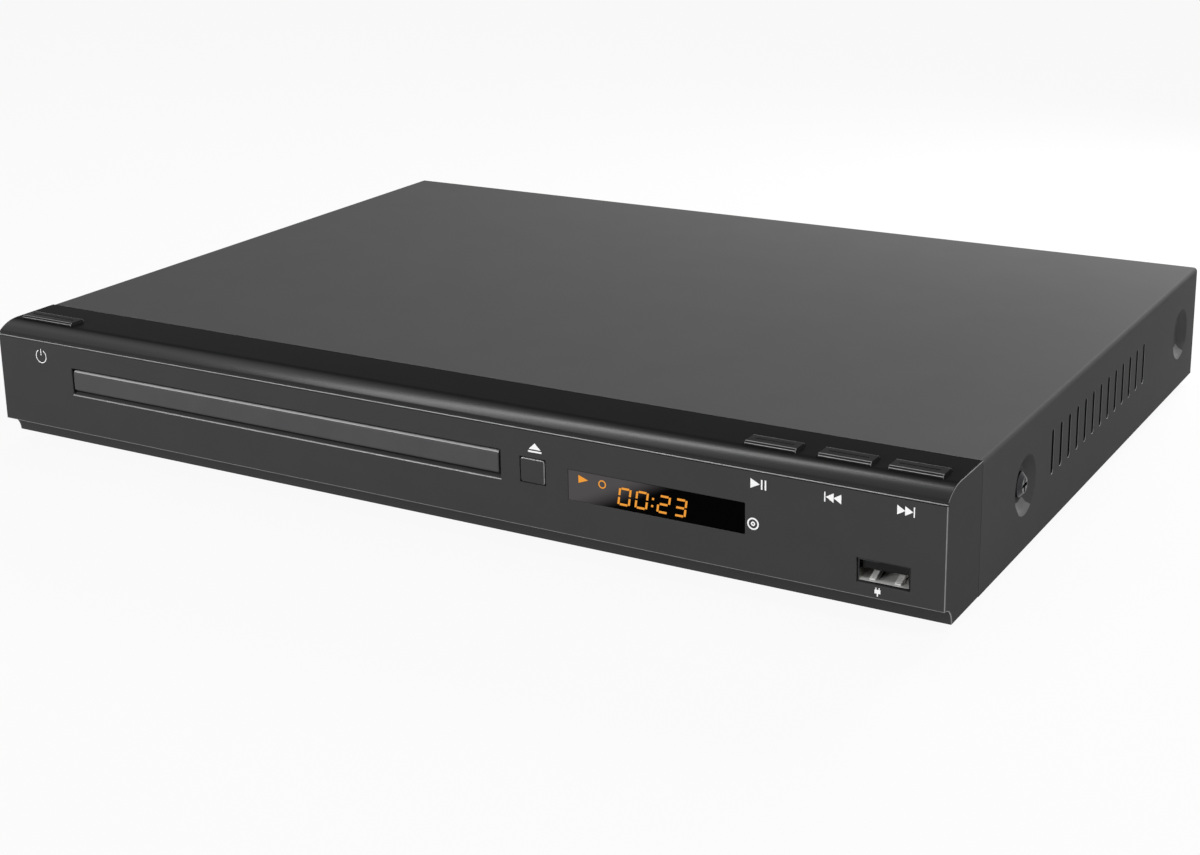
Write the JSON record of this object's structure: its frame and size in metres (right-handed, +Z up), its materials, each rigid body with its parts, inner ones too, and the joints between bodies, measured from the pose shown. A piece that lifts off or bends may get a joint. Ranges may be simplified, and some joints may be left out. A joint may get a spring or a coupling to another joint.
{
  "type": "disc player",
  "caption": "Slim set-top disc player with a sliding front tray, display, front USB socket and top keys, built round a belt-and-rack disc loader.",
  "frame": {"origin": "on the surface it stands on, below the middle of the player's length, width and depth, jacks included", "axes": "+X to the right seen from the front, +Y from the front to the rear, +Z up"},
  "size_m": [0.3, 0.2294, 0.0389],
  "materials": {
    "panel_plastic": "fine-grained moulded plastic",
    "key_plastic": "glossy moulded plastic",
    "door_plastic": "satin moulded plastic",
    "tray_plastic": "matt moulded plastic",
    "window_acrylic": "polished smoked acrylic",
    "display_plastic": "moulded display body",
    "circuit_board": "green solder mask",
    "switch_plastic": "moulded switch body",
    "painted_steel": "satin powder coat",
    "zinc_steel": "zinc-plated sheet",
    "rubber": "matt moulded rubber",
    "nickel": "bright nickel plate",
    "screw_steel": "zinc-plated steel",
    "loader_plastic": "moulded plastic",
    "acetal": "natural acetal",
    "belt_rubber": "moulded belt",
    "motor_can": "drawn steel can",
    "ground_steel": "ground steel",
    "brass": "turned brass",
    "traverse_steel": "die-cast alloy",
    "turntable_plastic": "moulded plastic with a rubber ring",
    "sled_plastic": "moulded plastic",
    "lens_glass": "polished lens",
    "chip_epoxy": "moulded epoxy",
    "capacitor_sleeve": "shrunk sleeve",
    "transformer_tape": "wound tape",
    "socket_plastic": "moulded plastic"
  },
  "bodies": {
    "case": {"front_panel": "panel_plastic", "display_window": "window_acrylic", "display_module": "display_plastic", "front_board": "circuit_board", "key_board": "circuit_board", "power_key_board": "circuit_board", "usb_board": "circuit_board", "main_board": "circuit_board", "power_board": "circuit_board", "front_switches": "switch_plastic", "top_cover": "painted_steel", "rear_panel": "painted_steel", "bottom_pan": "zinc_steel", "clamp_bridge": "zinc_steel", "feet": "rubber", "side_screws": "nickel", "rear_screws": "nickel", "usb_socket": "nickel", "hdmi_socket": "nickel", "jack_barrels": "nickel", "inlet_pins": "nickel", "loader_screws": "screw_steel", "board_screws": "screw_steel", "loader_frame": "loader_plastic", "drive_belt": "belt_rubber", "loading_motor": "motor_can", "board_chips": "chip_epoxy", "board_capacitors": "capacitor_sleeve", "power_capacitors": "capacitor_sleeve", "power_transformer": "transformer_tape", "mains_inlet": "socket_plastic", "jack_housing": "socket_plastic"},
    "tray": {"tray": "tray_plastic", "tray_door": "door_plastic"},
    "tray_gear": {"tray_gear": "acetal"},
    "pulley_gear": {"pulley_gear": "acetal"},
    "motor_rotor": {"motor_shaft": "ground_steel", "motor_pulley": "brass"},
    "traverse": {"traverse_frame": "traverse_steel", "spindle_motor": "motor_can", "guide_rods": "ground_steel", "sled_motor": "motor_can"},
    "cam_slider": {"cam_slider": "acetal"},
    "turntable": {"turntable": "turntable_plastic", "spindle_shaft": "ground_steel"},
    "clamper": {"clamper": "loader_plastic"},
    "pickup": {"pickup_sled": "sled_plastic", "objective_lens": "lens_glass"},
    "lead_screw": {"lead_screw": "ground_steel"},
    "play_key": {"play_key": "key_plastic"},
    "previous_key": {"previous_key": "key_plastic"},
    "next_key": {"next_key": "key_plastic"},
    "power_key": {"power_key": "key_plastic"},
    "eject_key": {"eject_key": "panel_plastic"}
  },
  "joints": [
    {"name": "tray_slide", "type": "slide", "parent": "case", "child": "tray", "axis": [0, -1, 0], "range_m": [0, 0.135]},
    {"name": "tray_gear_spin", "type": "hinge", "parent": "case", "child": "tray_gear", "pos_m": [0.0202, -0.07825, 0.019], "axis": [0, 0, 1], "continuous": true},
    {"name": "pulley_gear_spin", "type": "hinge", "parent": "case", "child": "pulley_gear", "pos_m": [0.0082, -0.07825, 0.017], "axis": [0, 0, 1], "continuous": true},
    {"name": "motor_spin", "type": "hinge", "parent": "case", "child": "motor_rotor", "pos_m": [-0.021, -0.07825, 0.0165], "axis": [0, 0, 1], "continuous": true},
    {"name": "traverse_drop", "type": "hinge", "parent": "case", "child": "traverse", "pos_m": [-0.0463, 0.04975, 0.014], "axis": [1, 0, 0], "range_deg": [0, 4.2]},
    {"name": "cam_slide", "type": "slide", "parent": "case", "child": "cam_slider", "axis": [-1, 0, 0], "range_m": [0, 0.01201]},
    {"name": "turntable_spin", "type": "hinge", "parent": "traverse", "child": "turntable", "pos_m": [-0.0463, -0.04525, 0.0257], "axis": [0, 0, 1], "continuous": true},
    {"name": "clamper_spin", "type": "hinge", "parent": "case", "child": "clamper", "pos_m": [-0.0463, -0.04525, 0.0293], "axis": [0, 0, 1], "continuous": true},
    {"name": "pickup_slide", "type": "slide", "parent": "traverse", "child": "pickup", "axis": [0, 1, 0], "range_m": [0, 0.035]},
    {"name": "lead_screw_spin", "type": "hinge", "parent": "traverse", "child": "lead_screw", "pos_m": [-0.0163, 0.00325, 0.0124], "axis": [0, 1, 0], "continuous": true},
    {"name": "play_press", "type": "slide", "parent": "case", "child": "play_key", "axis": [0, 0, -1], "range_m": [0, 0.0008], "stiffness_N_per_m": 400},
    {"name": "previous_press", "type": "slide", "parent": "case", "child": "previous_key", "axis": [0, 0, -1], "range_m": [0, 0.0008], "stiffness_N_per_m": 400},
    {"name": "next_press", "type": "slide", "parent": "case", "child": "next_key", "axis": [0, 0, -1], "range_m": [0, 0.0008], "stiffness_N_per_m": 400},
    {"name": "power_press", "type": "slide", "parent": "case", "child": "power_key", "axis": [0, 0, -1], "range_m": [0, 0.0008], "stiffness_N_per_m": 400},
    {"name": "eject_press", "type": "slide", "parent": "case", "child": "eject_key", "axis": [0, 1, 0], "range_m": [0, 0.0008], "stiffness_N_per_m": 400}
  ],
  "couplings": [
    {"joint": "tray_gear_spin", "follows": "tray_slide", "rad_per_m": -250},
    {"joint": "pulley_gear_spin", "follows": "tray_slide", "rad_per_m": 500},
    {"joint": "motor_spin", "follows": "tray_slide", "rad_per_m": 2000},
    {"joint": "cam_slide", "follows": "traverse_drop", "m_per_rad": 0.1637},
    {"joint": "clamper_spin", "follows": "turntable_spin", "ratio": 1},
    {"joint": "lead_screw_spin", "follows": "pickup_slide", "rad_per_m": 2094.4}
  ]
}
